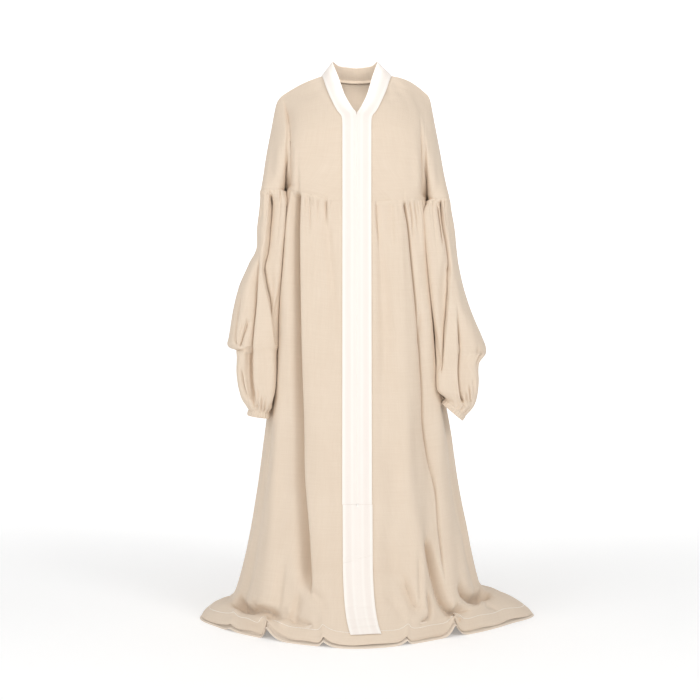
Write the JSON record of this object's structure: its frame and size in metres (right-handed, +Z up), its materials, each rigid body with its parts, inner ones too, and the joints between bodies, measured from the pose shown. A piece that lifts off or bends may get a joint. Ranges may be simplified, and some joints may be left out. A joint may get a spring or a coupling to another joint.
{
  "type": "prayer dress",
  "caption": "Long loose prayer dress, filled out as worn: gathered skirt and bishop sleeves below a yoke, ivory neck and front band over a concealed zip, hem trailing on the floor.",
  "frame": {"origin": "midway between the two points where the shoulder seams meet the neck band, where the wearer's shoulders carry the dress", "axes": "+Z up along the wearer's body, +X to the wearer's left, and the front faces -Y"},
  "size_m": [0.8554, 0.6932, 1.4325],
  "materials": {
    "beige_cloth": "plain-woven viscose and linen blend, soft and matt",
    "hem_facing": "same cloth, second layer turned up inside the hem",
    "ivory_band": "ivory matt satin-weave cotton with tone-on-tone stripes, faced and pressed",
    "zip_tape": "woven polyester tape of a concealed zip"
  },
  "bodies": {
    "root": {"yoke_front_right": "beige_cloth", "yoke_front_left": "beige_cloth", "yoke_back": "beige_cloth", "skirt_front_right": "beige_cloth", "skirt_front_left": "beige_cloth", "skirt_back": "beige_cloth", "sleeve_right": "beige_cloth", "sleeve_left": "beige_cloth", "cuff_right": "beige_cloth", "cuff_left": "beige_cloth", "collar_facing": "beige_cloth", "hem_facing_front_right": "hem_facing", "hem_facing_front_left": "hem_facing", "hem_facing_back": "hem_facing", "band_right": "ivory_band", "band_left": "ivory_band", "band_below_opening": "ivory_band", "band_foot": "ivory_band", "zip_tape": "zip_tape"}
  },
  "joints": []
}
